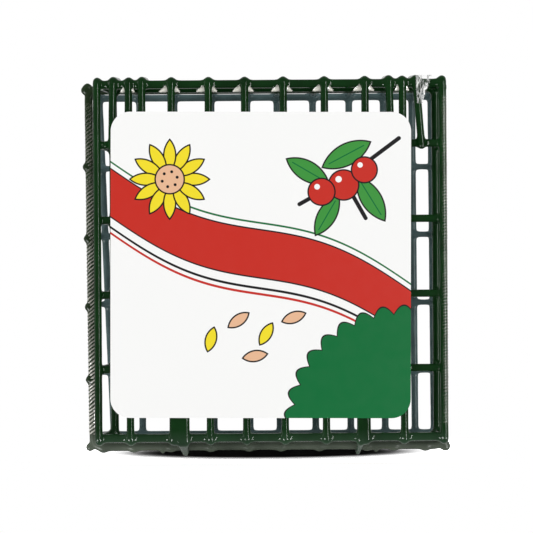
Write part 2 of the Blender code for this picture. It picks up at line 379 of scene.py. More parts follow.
def back_wires(weld):
    """The back half's rim, uprights and crosswires, and the beads that it stands on."""
    bottom, top = BACK_BOTTOM_Z, BACK_TOP_Z
    wires = [rim_wire("back_rim", BACK_RIM_Y, BACK_RIM_OFF)]
    for node in numbered("back_upright"):
        x, top_x, foot_x = back_upright_ends(node)
        leans = abs(top_x + foot_x - 2 * x) < WIRE_R / 2
        at_top, at_foot = (top_x, foot_x) if leans else (x, x)
        wires.append(upright_wire(
            at_top, at_foot, BACK_FACE_Y, BACK_RIM_Y, bottom + BACK_RISE[0], top + BACK_RISE[-1],
            weld, end=(top_x, foot_x, bottom - FOOT_END_WELD, top + weld),
        ))
    left_top, left_bottom, right = rim_sides("back_rim", BACK_RIM_OFF)
    rights = (right + weld / 2, right + RIGHT_WELD_SHARE * weld)
    crosswires = numbered("back_crosswire")
    for node, rise, sag in zip(crosswires, BACK_RISE, BACK_END_SAG):
        radius = WIRE_R if node in (crosswires[0], crosswires[-1]) else BACK_CROSSWIRE_R
        share = (middle(node, Z) - bottom) / (top - bottom)
        left = left_bottom + share * (left_top - left_bottom) - weld
        wires.append(crosswire(node, radius, BACK_FACE_Y, -1, BACK_RIM_Y, (left, left), rights, rise, sag))
    half = extent("back_rim", X) / 2 - ROD_R
    under = bottom - weld - WIRE_R / 2
    for share, back in REAR_DRIPS:
        y = BACK_RIM_Y + back * (BACK_FACE_Y - BACK_RIM_Y)
        wires.append(drip(share * half, y, under, under - BEAD_TIP_R - DRIP_GAP, BEAD_R, BEAD_TIP_R))
    for share, length in RIM_DRIPS:
        wires.append(drip(share * half, BACK_RIM_Y, bottom - ROD_R / 2, length, ROD_R / 2, WIRE_R / 3))
    return wires


# Coating: a field of distances to the wires, and its zero surface


def window(axes, lowest, highest):
    """The slices of the grid's three axes between two corners."""
    return tuple(
        slice(np.searchsorted(places, first), np.searchsorted(places, last))
        for places, first, last in zip(axes, lowest, highest)
    )


def wire_distance(points, radii, axes, reach):
    """Distance from each grid point near one wire to its surface, with the block of the grid that holds it.

    Along a run from a to b the nearest point is a + t(b-a), t = clamp((p-a).(b-a)/|b-a|^2, 0, 1), and the
    distance is |p - nearest| less the radius there. A wire's distance is the least of its runs'.
    """
    pad = radii.max() + reach
    block = window(axes, points.min(0) - pad, points.max(0) + pad)
    nearest = np.full([s.stop - s.start for s in block], reach, np.float32)
    for a, b, ra, rb in zip(points[:-1], points[1:], radii[:-1], radii[1:]):
        run = b - a
        squared = run @ run
        if squared == 0:
            continue
        parts = window(axes, np.minimum(a, b) - pad, np.maximum(a, b) + pad)
        offsets = np.ix_(*(places[part] - start for places, part, start in zip(axes, parts, a)))
        t = np.clip(sum(off * step for off, step in zip(offsets, run)) / squared, 0, 1)
        gap = np.sqrt(sum((off - t * step) ** 2 for off, step in zip(offsets, run)))
        gap -= ra + t * (rb - ra)
        inner = tuple(slice(p.start - s.start, p.stop - s.start) for p, s in zip(parts, block))
        np.minimum(nearest[inner], gap, out=nearest[inner])
    return block, nearest


def coating_field(wires, blend, cell):
    """The coating's field: distances joined by f = -k log(sum exp(-d/k)), which flows where wires meet."""
    reach = PATH_REACH_SHARE * blend
    every = np.concatenate([points for points, _ in wires])
    pad = max(radii.max() for _, radii in wires) + reach + 2 * cell
    start = every.min(0) - pad
    counts = np.ceil((every.max(0) + pad - start) / cell).astype(int) + 1
    axes = [start[axis] + cell * np.arange(counts[axis]) for axis in range(3)]
    total = np.full(counts, math.exp(-PATH_REACH_SHARE), np.float32)
    for points, radii in wires:
        block, distance = wire_distance(points, radii, axes, reach)
        total[block] += np.exp(-distance / blend) - math.exp(-PATH_REACH_SHARE)
    return -blend * np.log(np.maximum(total, math.exp(-2 * PATH_REACH_SHARE))), start


CORNERS = np.array([(i, j, k) for i in (0, 1) for j in (0, 1) for k in (0, 1)])
EDGES = [(a, b) for a in range(8) for b in range(a + 1, 8) if np.abs(CORNERS[a] - CORNERS[b]).sum() == 1]


def zero_surface(field):
    """Surface net of the field's zero level, in cells: one vertex in each cell that the surface crosses.

    A vertex is the mean of the crossings on its cell's edges, each at a + t(b-a) with t = fa / (fa - fb).
    A face joins the four cells round each crossed grid edge, turned so that it faces outwards.
    """
    inside = field < 0
    shape = np.array(field.shape) - 1
    count = np.zeros(shape, np.int8)
    for i, j, k in CORNERS:
        count += inside[i:shape[0] + i, j:shape[1] + j, k:shape[2] + k]
    active = (count > 0) & (count < 8)
    cells = np.argwhere(active)
    number = np.full(shape, -1, np.int32)
    number[active] = np.arange(len(cells))
    values = [field[tuple((cells + corner).T)] for corner in CORNERS]
    total = np.zeros((len(cells), 3))
    crossings = np.zeros(len(cells))
    for a, b in EDGES:
        fa, fb = values[a], values[b]
        crossed = (fa < 0) != (fb < 0)
        t = np.where(crossed, fa / np.where(crossed, fa - fb, 1), 0)[:, None]
        total += np.where(crossed[:, None], CORNERS[a] + t * (CORNERS[b] - CORNERS[a]), 0)
        crossings += crossed
    vertices = cells + total / crossings[:, None]
    faces = []
    for axis in range(3):
        others = [(axis + 1) % 3, (axis + 2) % 3]
        starts_inside = np.delete(inside, -1, axis)
        edges = np.argwhere(starts_inside != np.delete(inside, 0, axis))
        inward = ~starts_inside[tuple(edges.T)]
        ring = []
        for steps in ((-1, -1), (0, -1), (0, 0), (-1, 0)):
            cell = edges.copy()
            cell[:, others] += steps
            ring.append(number[tuple(cell.T)])
        quads = np.stack(ring, 1)
        quads[inward] = quads[inward][:, ::-1]
        faces.append(quads)
    return vertices, np.concatenate(faces)


def sample(field, places):
    """The field between grid points, by trilinear weights."""
    base = np.clip(np.floor(places).astype(int), 0, np.array(field.shape) - 2)
    share = places - base
    total = np.zeros(len(places))
    for corner in CORNERS:
        weight = np.prod(np.where(corner, share, 1 - share), 1)
        total += weight * field[tuple((base + corner).T)]
    return total


def slope(field, places):
    """The field's gradient by central differences half a cell each way."""
    half = 0.5 * np.eye(3)
    return np.stack([sample(field, places + step) - sample(field, places - step) for step in half], 1)


def unevenness(places):
    """A slow swell of the coating's thickness: a sum of three crossed sine waves, between -1 and 1."""
    total = np.zeros(len(places))
    for index, length in enumerate(WAVE_LENGTHS):
        wave = 2 * math.pi * places / length
        total += np.sin(wave[:, X] + index) * np.cos(wave[:, Y] - index) + np.sin(wave[:, Z] + 2 * index)
    return total / (2 * len(WAVE_LENGTHS))


def coating_surface(wires, blend, cell):
    """Vertices and faces of the coating over the wires, in metres.

    Steps of -f grad f / |grad f|^2 bring the surface net onto the zero level, and the unevenness then moves
    it along its normals.
    """
    field, start = coating_field(wires, blend, cell)
    vertices, faces = zero_surface(field)
    for _ in range(NEWTON_STEPS):
        gradient = slope(field, vertices)
        squared = np.maximum((gradient ** 2).sum(1), TINY)
        vertices -= np.clip(sample(field, vertices) / squared, -cell, cell)[:, None] * gradient
    gradient = slope(field, vertices)
    outward = gradient / np.maximum(np.linalg.norm(gradient, axis=1), TINY)[:, None]
    places = start + cell * vertices
    return places + UNEVENNESS * unevenness(places)[:, None] * outward, faces


# Objects


def linked(name, data):
    """An object in the scene."""
    obj = bpy.data.objects.new(name, data)
    bpy.context.scene.collection.objects.link(obj)
    return obj


def edited(mesh, change):
    """Changes a mesh through a bmesh."""
    model = bmesh.new()
    model.from_mesh(mesh)
    change(model)
    model.to_mesh(mesh)
    model.free()


def turn_outwards(model):
    bmesh.ops.recalc_face_normals(model, faces=model.faces)


def cap_cuts(model):
    """Closes the round cuts of a split coating with flat faces."""
    cuts = [edge for edge in model.edges if len(edge.link_faces) == 1]
    for face in bmesh.ops.holes_fill(model, edges=cuts, sides=0)["faces"]:
        face.smooth = False


def new_piece(name, vertices, faces, material, sharp_degrees=None):
    """A mesh object at the origin, shaded smooth.

    With an angle given, steeper edges stay sharp and every face is turned outwards.
    """
    mesh = bpy.data.meshes.new(name)
    mesh.from_pydata(np.asarray(vertices).tolist(), [], [list(map(int, face)) for face in faces])
    mesh.update()
    mesh.shade_smooth()
    if sharp_degrees:
        mesh.set_sharp_from_angle(angle=math.radians(sharp_degrees))
        edited(mesh, turn_outwards)
    mesh.materials.append(material)
    return linked(name, mesh)


def wrapped(index):
    """A grid of vertex numbers whose last column is its first again."""
    return np.hstack([index, index[:, :1]])


def grid_faces(index):
    """Four-sided faces between the rows and columns of a grid of vertex numbers."""
    faces = np.stack([index[:-1, :-1], index[1:, :-1], index[1:, 1:], index[:-1, 1:]], -1)
    return faces.reshape(-1, 4).tolist()


def add_uv(obj, name, values):
    """Gives each corner of each face its vertex's values, in millimetres."""
    layer = obj.data.uv_layers.new(name=name)
    corners = np.zeros(len(obj.data.loops), np.int32)
    obj.data.loops.foreach_get("vertex_index", corners)
    layer.data.foreach_set("uv", (values[corners] / MM).ravel())


def coated(name, wires, row, material):
    """A half's coating as two closed pieces, parted between the third and fourth crosswires of a row."""
    feeder = bpy.context.scene.feeder
    vertices, faces = coating_surface(wires(feeder.weld_depth), feeder.blend, feeder.cell)
    third, fourth = numbered(row)[2:4]
    split_z = (middle(third, Z) + middle(fourth, Z)) / 2
    height = vertices[faces].mean(1)[:, Z]
    pieces = []
    for part, chosen in (("lower", height < split_z), ("upper", height >= split_z)):
        kept = faces[chosen]
        used, renumbered = np.unique(kept, return_inverse=True)
        piece = new_piece(f"{name}_{part}", vertices[used], renumbered.reshape(kept.shape), material)
        edited(piece.data, cap_cuts)
        piece.data.set_sharp_from_angle(angle=math.radians(CUT_SHARP_DEGREES))
        pieces.append(piece)
    return pieces


# Materials. Noise scales are in repeats a metre

NOISE_RANGE = (0.3, 0.7)  # most of a noise lies between these
COATING_SPECULAR = 0.05
COATING_IOR = 1.46
POOLING = (0.72, 1.28)  # the coating's colour is this many times as bright where it pools and where it thins
POOLING_SCALE = 90
COATING_PEEL = (420, 0.04 * MM)  # orange peel: its noise's scale, and its depth
# Gloss, here and for the card and the film: its noise's scale, and the least and greatest roughness
BACK_GLOSS = (260, 0.22, 0.36)
DOOR_GLOSS = (260, 0.10, 0.20)
# Paler colours at each half's foot: painted light from the floor below and the film's sheen on the lower
# wires
RIM_FOOT_LIT_COLOUR = (0.082, 0.100, 0.075)
DOOR_FOOT_LIT_COLOUR = (0.024, 0.052, 0.028)
FOOT_LIGHT_HEIGHTS = (7.0 * MM, 13.0 * MM)  # the coating is painted paler below these: painted light from the floor and the film's sheen
CARD_SPECULAR = 0.03
CARD_IOR = 1.45
CARD_GRAIN = (1500, 0.01 * MM)
CARD_GLOSS = (300, 0.36, 0.46)
BOARD_GRAIN = (1200, 0.015 * MM)
BOARD_GLOSS = (300, 0.6, 0.75)
BOARD_MOTTLE_SCALE = 240
BOARD_DULL, BOARD_PALE = (0.83, 0.825, 0.80), (0.90, 0.90, 0.885)


class Ink:
    """A number or colour worked out by nodes, so that a design reads as formulas."""

    def __init__(self, socket):
        self.socket = socket

    def math(self, operation, *others, clamp=False):
        node = self.socket.id_data.nodes.new("ShaderNodeMath")
        node.operation = operation
        node.use_clamp = clamp
        for target, value in zip(node.inputs, (self, *others)):
            put(target, value)
        return Ink(node.outputs[0])

    def __add__(self, other):
        return self.math("ADD", other)

    def __sub__(self, other):
        return self.math("SUBTRACT", other)

    def __mul__(self, other):
        return self.math("MULTIPLY", other)

    def least(self, other):
        return self.math("MINIMUM", other)

    def most(self, other):
        return self.math("MAXIMUM", other)

    def size(self):
        return self.math("ABSOLUTE")

    def length(self, other):
        return (self * self + other * other).math("SQRT")


def put(target, value):
    """Links an Ink to a socket, or sets the socket to a number or a colour."""
    if isinstance(value, Ink):
        target.id_data.links.new(value.socket, target)
    elif target.type == "RGBA":
        target.default_value = (*value[:3], 1.0)
    else:
        target.default_value = value


def fill(node, values):
    for name, value in values.items():
        put(node.inputs[name], value)


def new_material(name):
    """A material, its shader and the object's coordinates."""
    made = bpy.data.materials.new(name)
    made.use_nodes = True
    nodes = made.node_tree.nodes
    return made, nodes["Principled BSDF"], nodes.new("ShaderNodeTexCoord").outputs["Object"]


def split(vector):
    """The three coordinates of a vector socket."""
    node = vector.id_data.nodes.new("ShaderNodeSeparateXYZ")
    vector.id_data.links.new(vector, node.inputs["Vector"])
    return [Ink(part) for part in node.outputs]


def uv_of(place, name):
    """Both coordinates of a UV layer, in the material that a place belongs to."""
    node = place.id_data.nodes.new("ShaderNodeUVMap")
    node.uv_map = name
    return split(node.outputs["UV"])[:2]


def noise(place, scale, detail=3.0):
    node = place.id_data.nodes.new("ShaderNodeTexNoise")
    fill(node, {"Scale": scale, "Detail": detail})
    place.id_data.links.new(place, node.inputs["Vector"])
    return Ink(node.outputs["Fac"])


def ranged(value, from_low, from_high, to_low, to_high, kind="LINEAR"):
    node = value.socket.id_data.nodes.new("ShaderNodeMapRange")
    node.interpolation_type = kind
    limits = {"From Min": from_low, "From Max": from_high, "To Min": to_low, "To Max": to_high}
    fill(node, {"Value": value, **limits})
    return Ink(node.outputs["Result"])


def speckle(place, scale, least, greatest):
    """A noise spread over a range."""
    return ranged(noise(place, scale), *NOISE_RANGE, least, greatest)


def mixed(share, first, second):
    """A colour between two, each a colour or an Ink."""
    node = share.socket.id_data.nodes.new("ShaderNodeMix")
    node.data_type = "RGBA"
    colours = [socket for socket in node.inputs if socket.type == "RGBA"]
    for target, value in zip((node.inputs["Factor"], *colours), (share, first, second)):
        put(target, value)
    return Ink(next(socket for socket in node.outputs if socket.type == "RGBA"))


def tent(value, peak, fall, height):
    """A value that is greatest at its peak: height - fall |value - peak|."""
    return (value - peak).size() * -fall + height


def bump(shader, place, scale, depth):
    node = place.id_data.nodes.new("ShaderNodeBump")
    fill(node, {"Strength": 1.0, "Distance": depth, "Height": noise(place, scale, detail=2)})
    put(shader.inputs["Normal"], Ink(node.outputs["Normal"]))


def coating_material(name, colour, painted_far_colour, foot_lit_colour, gloss):
    """Dipped coating: deep colour that pools darker, soft orange peel, and a gloss that wanders.

    Towards the back face the colour turns into the far one, a painted haze and reflection; at the foot it
    turns into the lit one, painted light from the floor and the film's sheen.
    """
    made, shader, place = new_material(name)
    _, y, z = split(place)
    # Share of the painted haze and reflection, growing towards the back face
    depth = ranged(y, BACK_RIM_Y + ROD_R, BACK_FACE_Y - 2 * ROD_R, 0, 1)
    # Share of the painted light at the foot, from the floor and the film's sheen
    foot_light_share = ranged(z, *FOOT_LIGHT_HEIGHTS, 1, 0)
    shades = []
    for amount in POOLING:
        near, far, foot = ([amount * part for part in tint] for tint in (colour, painted_far_colour, foot_lit_colour))
        shades.append(mixed(depth, mixed(foot_light_share, near, foot), far))
    bump(shader, place, *COATING_PEEL)
    fill(shader, {
        "Base Color": mixed(speckle(place, POOLING_SCALE, 0, 1), *shades),
        "Roughness": speckle(place, *gloss),
        "IOR": COATING_IOR,
        "Specular IOR Level": COATING_SPECULAR,
    })
    return made


def disc(x, y, centre, radius):
    """Distance to a disc's edge, less than 0 inside."""
    return (x - centre[0]).length(y - centre[1]) - radius


def turned(x, y, centre, degrees):
    """Coordinates from a centre, turned so that the first runs along the given direction."""
    c, s = math.cos(math.radians(degrees)), math.sin(math.radians(degrees))
    along, across = x - centre[0], y - centre[1]
    return along * c + across * s, across * c - along * s


def leaf(x, y, centre, degrees, long, wide):
    """A leaf: where two equal discs overlap, long and wide being its half sizes."""
    along, across = turned(x, y, centre, degrees)
    radius = (long * long + wide * wide) / (2 * wide)
    first, second = (disc(along, across, (0, side * (wide - radius)), radius) for side in (1, -1))
    return first.most(second)


def stroke(x, y, start, end, width):
    """A straight line with round ends."""
    span = math.hypot(end[0] - start[0], end[1] - start[1])
    degrees = math.degrees(math.atan2(end[1] - start[1], end[0] - start[0]))
    along, across = turned(x, y, start, degrees)
    past = along - along.most(0.0).least(span)
    return past.length(across) - width / 2


def beside(centre, degrees, reach):
    """The point at a direction and distance from a centre."""
    turn = math.radians(degrees)
    return centre[0] + reach * math.cos(turn), centre[1] + reach * math.sin(turn)


# Inks
CARD_WHITE = (0.93, 0.93, 0.92)
INK_GREEN = (0.005, 0.150, 0.040)
INK_LEAF = (0.050, 0.290, 0.050)
INK_RED = (0.560, 0.030, 0.020)
INK_BLACK = (0.012, 0.011, 0.012)
INK_YELLOW = (0.880, 0.720, 0.030)
INK_PEACH = (0.800, 0.480, 0.300)

# The card's design, in millimetres and degrees, from the card's middle
CARD_UV = "card_mm"
PRINT_EDGE = 0.14  # over which one ink ends
OUTLINE = 0.55
# Ribbon: height at the middle, fall to the right, swing and its turns, and half width
RIBBON_HEIGHT, RIBBON_FALL, RIBBON_SWING, RIBBON_TURNS, RIBBON_HALF = 4.0, 0.42, 5.0, 0.055, 8.5
# Rules: how far below the ribbon's middle, half width, and ink
RULES = ((12.5, 0.45, INK_BLACK), (14.6, 0.45, INK_RED), (-11.2, 0.35, INK_GREEN))
# Bush: centre, radius, and its scallops' turns and height
BUSH, BUSH_R, SCALLOP_TURNS, SCALLOP = (52.0, -58.0), 40.0, 17.0, 3.2
LEAVES = (
    ((31, 40), 28, 9.5, 3.6), ((40, 24), -58, 9.0, 3.4),
    ((17, 34), 150, 8.5, 3.3), ((24, 18), -120, 8.0, 3.0),
)
VEIN_SHARE, VEIN_WIDTH = 0.75, 0.4
BERRIES = (((30, 29), 5.2), ((37.5, 34.5), 4.4), ((22, 26.5), 4.6))
SHINE_SHARES = (-0.35, 0.4, 0.22)  # a berry's bright spot: place across and up, and radius, by the berry's
TWIG = (((50, 46), (30, 31)), ((30, 31), (14, 22)), ((30, 31), (38, 17)))
TWIG_WIDTH = 1.5
FLOWER, FLOWER_R = (-33, 31), 5.0
PETALS, PETAL_REACH, PETAL_HALVES = 12, 8.6, (5.4, 1.9)
DOTS, DOT_START, DOT_REACH, DOT_R = 6, 15, 2.8, 0.55
SEEDS = (((-8, -20), 35), ((2, -25), 60), ((12, -19), 20), ((-18, -27), 75), ((-2, -33), 10))
SEED_HALVES = (4.2, 1.7)


def card_design(place):
    """The card's print: a red ribbon between thin rules, a green bush, a sprig with berries and a flower."""
    x, y = uv_of(place, CARD_UV)
    colour = CARD_WHITE

    def printed(distance, ink):
        nonlocal colour
        mask = (distance * (-1 / PRINT_EDGE)).math("ADD", 0.5, clamp=True)
        colour = mixed(mask, colour, ink)

    def outlined(distance, ink):
        printed(distance - OUTLINE, INK_BLACK)
        printed(distance, ink)

    # Ribbon: a broad wave that falls from the left edge to the right, with rules above and below it
    wave = y - RIBBON_HEIGHT + x * RIBBON_FALL - (x * RIBBON_TURNS).math("SINE") * RIBBON_SWING
    outlined(wave.size() - RIBBON_HALF, INK_RED)
    for off, half, ink in RULES:
        printed((wave + off).size() - half, ink)

    # Bush in the lower right corner: a disc whose edge is scalloped round its turn
    across, up = x - BUSH[0], y - BUSH[1]
    scallops = (up.math("ARCTAN2", across) * SCALLOP_TURNS).math("SINE").size() * SCALLOP
    outlined(across.length(up) - BUSH_R - scallops, INK_GREEN)

    # Sprig
    for start, end in TWIG:
        printed(stroke(x, y, start, end, TWIG_WIDTH), INK_BLACK)
    for centre, degrees, long, wide in LEAVES:
        outlined(leaf(x, y, centre, degrees, long, wide), INK_LEAF)
        heel, tip = (beside(centre, degrees, side * VEIN_SHARE * long) for side in (-1, 1))
        printed(stroke(x, y, heel, tip, VEIN_WIDTH), INK_GREEN)
    for centre, radius in BERRIES:
        outlined(disc(x, y, centre, radius), INK_RED)
        off_x, off_y, spot = (share * radius for share in SHINE_SHARES)
        printed(disc(x, y, (centre[0] + off_x, centre[1] + off_y), spot), CARD_WHITE)

    # Flower: petals as leaves round a dotted centre
    for petal in range(PETALS):
        degrees = 360.0 * petal / PETALS
        outlined(leaf(x, y, beside(FLOWER, degrees, PETAL_REACH), degrees, *PETAL_HALVES), INK_YELLOW)
    outlined(disc(x, y, FLOWER, FLOWER_R), INK_PEACH)
    for dot in range(DOTS):
        degrees = 360.0 * dot / DOTS + DOT_START
        printed(disc(x, y, beside(FLOWER, degrees, DOT_REACH), DOT_R), INK_BLACK)

    # Seeds
    for index, (centre, degrees) in enumerate(SEEDS):
        outlined(leaf(x, y, centre, degrees, *SEED_HALVES), (INK_PEACH, INK_YELLOW)[index % 2])
    return colour


def card_material():
    """Printed card under a satin laminate."""
    made, shader, place = new_material("printed_card_print")
    bump(shader, place, *CARD_GRAIN)
    fill(shader, {
        "Base Color": card_design(place),
        "Roughness": speckle(place, *CARD_GLOSS),
        "IOR": CARD_IOR,
        "Specular IOR Level": CARD_SPECULAR,
    })
    return made


def board_material():
    """The card's unprinted back and edge: white board with a faint fibre mottle."""
    made, shader, place = new_material("plain_board")
    bump(shader, place, *BOARD_GRAIN)
    fill(shader, {
        "Base Color": mixed(speckle(place, BOARD_MOTTLE_SCALE, 0, 1), BOARD_DULL, BOARD_PALE),
        "Roughness": speckle(place, *BOARD_GLOSS),
        "Specular IOR Level": CARD_SPECULAR,
    })
    return made


# Card

CARD_CORNER = 7.0 * MM
CARD_TILT_DEGREES = 0.45
CARD_RINGS = 28
CARD_TURN_STEPS = 12
CARD_EDGE_STEPS = 24
CARD_SHARP_DEGREES = 40
# Ripple: height, turns a metre across and up, and how far the upward one is shifted
CARD_RIPPLE, RIPPLE_ACROSS, RIPPLE_UP, RIPPLE_SHIFT = 0.12 * MM, 95, 70, 1


def card_outline(half_w, half_h):
    """A rectangle with round corners, evenly stepped along its straight sides.

    Each corner is its centre + r (cos a, sin a) over a quarter turn.
    """
    arcs = []
    for sx, sy, start in ((1, 1, 0), (-1, 1, 90), (-1, -1, 180), (1, -1, 270)):
        turn = np.radians(np.linspace(0, 90, CARD_TURN_STEPS + 1)) + math.radians(start)
        centre = np.array([sx * (half_w - CARD_CORNER), sy * (half_h - CARD_CORNER)])
        arcs.append(centre + CARD_CORNER * np.stack([np.cos(turn), np.sin(turn)], 1))
    share = np.linspace(0, 1, CARD_EDGE_STEPS + 1)[1:-1, None]
    points = []
    for arc, following in zip(arcs, arcs[1:] + arcs[:1]):
        points += [arc, arc[-1] + share * (following[0] - arc[-1])]
    return np.concatenate(points)


def make_card(bow):
    """The card as rings from its middle to its outline, printed in front and plain at its back and edge.

    It stands off its node by bow (1 - s^2) + ripple, s being the share of the way to the outline.
    """
    width, height = extent("label_card", X), extent("label_card", Z)
    tilt = math.radians(CARD_TILT_DEGREES)
    half_w = (width - height * math.sin(tilt)) / 2
    half_h = (height - width * math.sin(tilt)) / 2
    outline = card_outline(half_w, half_h)
    share = np.linspace(0, 1, CARD_RINGS + 1)[1:]
    flat = np.concatenate([np.zeros((1, 2)), (share[:, None, None] * outline).reshape(-1, 2)])
    reach = np.maximum(np.abs(flat[:, 0]) / half_w, np.abs(flat[:, 1]) / half_h)
    ripple = np.sin(flat[:, 0] * RIPPLE_ACROSS) * np.sin(flat[:, 1] * RIPPLE_UP + RIPPLE_SHIFT)
    stand = bow * (1 - reach ** 2) + CARD_RIPPLE * ripple
    c, s = math.cos(tilt), math.sin(tilt)
    x = middle("label_card", X) + flat[:, 0] * c + flat[:, 1] * s
    z = middle("label_card", Z) - flat[:, 0] * s + flat[:, 1] * c
    front, back = (np.stack([x, y - stand, z], 1) for y in (low("label_card", Y), high("label_card", Y)))
    rings = wrapped(1 + np.arange(len(flat) - 1).reshape(CARD_RINGS, -1))
    faces = [[0, a, b] for a, b in zip(rings[0], rings[0][1:])] + grid_faces(rings)
    backs = [[len(flat) + corner for corner in reversed(face)] for face in faces]
    sides = grid_faces(np.stack([rings[-1], len(flat) + rings[-1]]))
    card = new_piece(
        "printed_card_sheet", np.concatenate([front, back]), faces + backs + sides, card_material(),
        CARD_SHARP_DEGREES,
    )
    card.data.materials.append(board_material())
    unprinted = np.zeros(len(card.data.polygons), np.int32)
    unprinted[len(faces):] = 1
    card.data.polygons.foreach_set("material_index", unprinted)
    add_uv(card, CARD_UV, np.concatenate([flat, flat]))
    return card


# Shrink film

FILM_UV = "film_mm"
FILM_OFF = 0.12 * MM  # between the film and the wire that it wraps
FILM_FOLD = 0.10 * MM
FILM_SWELLS = 9  # radians over which a sleeve's folds grow and shrink
FILM_SIDES = 28
FILM_STEP = 0.35 * MM
FILM_SHARP_DEGREES = 60
FILM_THICKNESS = 0.04 * MM
FILM_END = 5.0 * MM  # bare wire at each end of a sleeve
FILM_IOR = 1.5
FILM_CREAM = (0.62, 0.61, 0.54)
FILM_DULL = 0.55  # between its lines the film is this share as bright
FILM_SOLID = 0.95  # how solid a line can be at most
FILM_GLOSS = (500, 0.12, 0.30)
FILM_WANDER = (180, 7.0)  # a noise's scale, and the radians by which it shifts the lines
FILM_PATCHES = (130, 0.35, 0.62, 0.5, 1)  # a noise's scale, its range, and how much of a line shows over it
PLEAT_PITCH, LADDER_PITCH = 1.45 * MM, 1.1 * MM
LEFT_PLEATS = {"slant": 0.8, "alphas": (0.05, 1.5), "sharpness": 1.5}
RIGHT_LADDER = {"slant": 0.35, "alphas": (0.75, 0.85), "sharpness": 2.5, "side": (5.2, 2.2)}
SHEET_POINTS = 9  # along each side of a film patch


def film_material(name, pitch, slant, alphas, sharpness, side=None):
    """Clear film whose pleats show as pale lines.

    Line share = (0.5 + 0.5 sin(2 pi (along + slant * around) / pitch + noise)) ^ sharpness. alphas are how
    solid the lines are at the top and at the bottom. side is where round the wire the film shines and how
    far to each side, in millimetres.
    """
    made, shader, place = new_material(name)
    around, along = uv_of(place, FILM_UV)
    wander_scale, swing = FILM_WANDER
    wander = noise(place, wander_scale) * swing
    wave = ((along + around * slant) * (2 * math.pi * MM / pitch) + wander).math("SINE") * 0.5 + 0.5
    line = wave.math("POWER", sharpness)
    height = ranged(split(place)[Z], BACK_BOTTOM_Z, BACK_TOP_Z, 1, 0)
    patch_scale, *limits = FILM_PATCHES
    patch = ranged(noise(place, patch_scale), *limits)
    alpha = (line * patch * (height * (alphas[1] - alphas[0]) + alphas[0])).least(FILM_SOLID)
    if side:
        alpha = alpha * tent(around, side[0], 1 / side[1], 1.0).most(0.0)
    fill(shader, {
        "Alpha": alpha,
        "Base Color": mixed(line, [FILM_DULL * channel for channel in FILM_CREAM], FILM_CREAM),
        "Roughness": speckle(place, *FILM_GLOSS),
        "IOR": FILM_IOR,
    })
    return made


def film_sleeve(name, start, end, radius, pitch, material):
    """Film shrunk round a straight wire, as a tube about it.

    Its radius is the wire's + off + fold sin(2 pi along / pitch + 2 turn) sin^2(swells along / span).
    """
    start, end = np.array(start, float), np.array(end, float)
    span = np.linalg.norm(end - start)
    axis = (end - start) / span
    side = unit(np.cross(axis, (0, 1, 0)))
    front = np.cross(side, axis)
    steps = np.linspace(0, span, int(span / FILM_STEP) + 1)
    along, turn = np.meshgrid(steps, np.linspace(0, 2 * math.pi, FILM_SIDES, endpoint=False), indexing="ij")
    fold = FILM_FOLD * np.sin(2 * math.pi * along / pitch + 2 * turn)
    fold *= np.sin(FILM_SWELLS * along / span) ** 2
    outward = np.cos(turn)[..., None] * side + np.sin(turn)[..., None] * front
    points = start + along[..., None] * axis + (radius + FILM_OFF + fold)[..., None] * outward
    index = np.arange(along.size).reshape(along.shape)
    faces = grid_faces(wrapped(index)) + [index[0].tolist(), index[-1][::-1].tolist()]
    sleeve = new_piece(name, points.reshape(-1, 3), faces, material, FILM_SHARP_DEGREES)
    add_uv(sleeve, FILM_UV, np.stack([turn * radius, along], -1).reshape(-1, 2))
    return sleeve


def film_sheets(name, patches, material):
    """Film webs: each patch is two edges, and its surface runs straight from one to the other with a sag.

    Point = (1-u) first(v) + u second(v), pushed back by sag * sin(pi u) * sin(pi v).
    """
    steps = np.linspace(0, 1, SHEET_POINTS)
    u, v = (grid[..., None] for grid in np.meshgrid(steps, steps, indexing="ij"))
    points, faces, values = [], [], []
    for first, second, sag in patches:
        near, far = ((1 - v) * np.array(edge[0]) + v * np.array(edge[1]) for edge in (first, second))
        patch = (1 - u) * near + u * far
        patch[..., [Y]] += sag * np.sin(math.pi * u) * np.sin(math.pi * v)
        faces += grid_faces(np.arange(u.size).reshape(u.shape[:2]) + u.size * len(points))
        points.append(patch.reshape(-1, 3))
        values.append(np.concatenate([u, v], -1).reshape(-1, 2) * MM)
    sheets = new_piece(name, np.concatenate(points), faces, material)
    add_uv(sheets, FILM_UV, np.concatenate(values))
    wall = sheets.modifiers.new("wall", "SOLIDIFY")
    wall.thickness = FILM_THICKNESS
    wall.offset = 0
    return sheets


WEB_TOP = 0.6 * MM  # above the top rod's middle
WEB_FOOT = 3.1 * MM  # below it
WEB_REACHES = (3.0 * MM, 1.9 * MM)  # to the left of an upright and to its right
NARROW_WEB = 0.5
WEB_TIP = 0.5 * MM
WEB_IN = 0.25 * MM
WEB_FRONT = 0.45 * MM
WEB_GREY, WEB_WHITE = (0.26, 0.27, 0.23), (0.74, 0.72, 0.65)
WEB_WHITENING, WEB_GREY_START = 1.6, 0.15  # how fast it turns white outwards, and how white it starts
WEB_FADE, WEB_FADE_START = 4.0, 4.2  # how fast it fades outwards, and from what
WEB_BAND = (0.62, 1.9, 1.05)  # where it is brightest downwards, how fast it dims from there, and from what
WEB_SPARKLE = (900, 0.75, 1.1)
WEB_STRENGTH, WEB_SOLID = 1.1, 0.9
WEB_ROUGHNESS = 0.2


